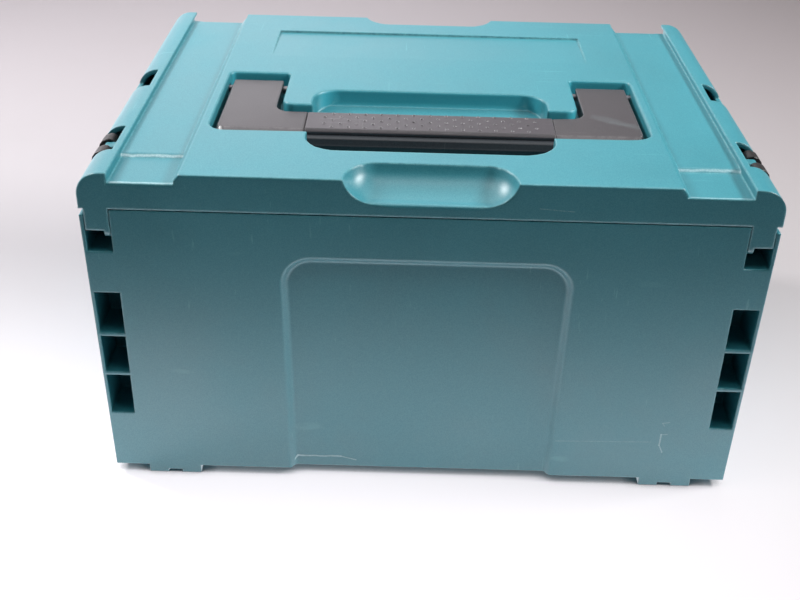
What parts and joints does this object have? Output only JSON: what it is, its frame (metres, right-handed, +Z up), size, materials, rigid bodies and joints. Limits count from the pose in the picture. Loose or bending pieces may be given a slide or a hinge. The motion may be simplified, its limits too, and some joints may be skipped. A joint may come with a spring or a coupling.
{
  "type": "hard tool case",
  "caption": "Stackable hard plastic tool case with a hinged lid, swing latches on the front and sides, and a carrying handle that folds flat into the lid.",
  "frame": {"origin": "on the floor under the middle of the case", "axes": "+X along the length towards the left side latch, +Y towards the hinge, +Z up"},
  "size_m": [0.395, 0.295, 0.21],
  "materials": {
    "case_plastic": "fine-grained satin moulded plastic",
    "handle_plastic": "satin moulded plastic",
    "grip_pad": "satin moulded plastic with raised dots",
    "grip_shell": "matte moulded plastic",
    "latch_plastic": "satin moulded plastic",
    "steel_pin": "drawn steel"
  },
  "bodies": {
    "base": {"base_shell": "case_plastic", "hinge_pin_left": "steel_pin", "hinge_pin_right": "steel_pin"},
    "lid": {"lid_shell": "case_plastic", "latch_pin_front_left": "steel_pin", "latch_pin_front_right": "steel_pin", "latch_pin_side_left": "steel_pin", "latch_pin_side_right": "steel_pin", "handle_pivot_pin_left": "steel_pin", "handle_pivot_pin_right": "steel_pin"},
    "handle": {"handle_arm_left": "handle_plastic", "handle_arm_right": "handle_plastic", "handle_grip_pad": "grip_pad", "handle_grip_shell": "grip_shell", "handle_screws": "steel_pin"},
    "latch_front_left": {"latch_front_left": "latch_plastic"},
    "latch_front_right": {"latch_front_right": "latch_plastic"},
    "latch_side_left": {"latch_side_left": "latch_plastic"},
    "latch_side_right": {"latch_side_right": "latch_plastic"}
  },
  "joints": [
    {"name": "lid_hinge", "type": "hinge", "parent": "base", "child": "lid", "pos_m": [0, 0.1425, 0.174], "axis": [-1, 0, 0], "range_deg": [0, 100]},
    {"name": "handle_pivot", "type": "hinge", "parent": "lid", "child": "handle", "pos_m": [0, -0.0078, 0.202], "axis": [1, 0, 0], "range_deg": [0, 90]},
    {"name": "latch_front_left_pivot", "type": "hinge", "parent": "lid", "child": "latch_front_left", "pos_m": [0.1571, -0.142, 0.1994], "axis": [-1, 0, 0], "range_deg": [0, 170]},
    {"name": "latch_front_right_pivot", "type": "hinge", "parent": "lid", "child": "latch_front_right", "pos_m": [-0.1571, -0.142, 0.1994], "axis": [-1, 0, 0], "range_deg": [0, 170]},
    {"name": "latch_side_left_pivot", "type": "hinge", "parent": "lid", "child": "latch_side_left", "pos_m": [0.1905, 0.09715, 0.2028], "axis": [0, -1, 0], "range_deg": [0, 170]},
    {"name": "latch_side_right_pivot", "type": "hinge", "parent": "lid", "child": "latch_side_right", "pos_m": [-0.1905, 0.09715, 0.2028], "axis": [0, 1, 0], "range_deg": [0, 170]}
  ]
}
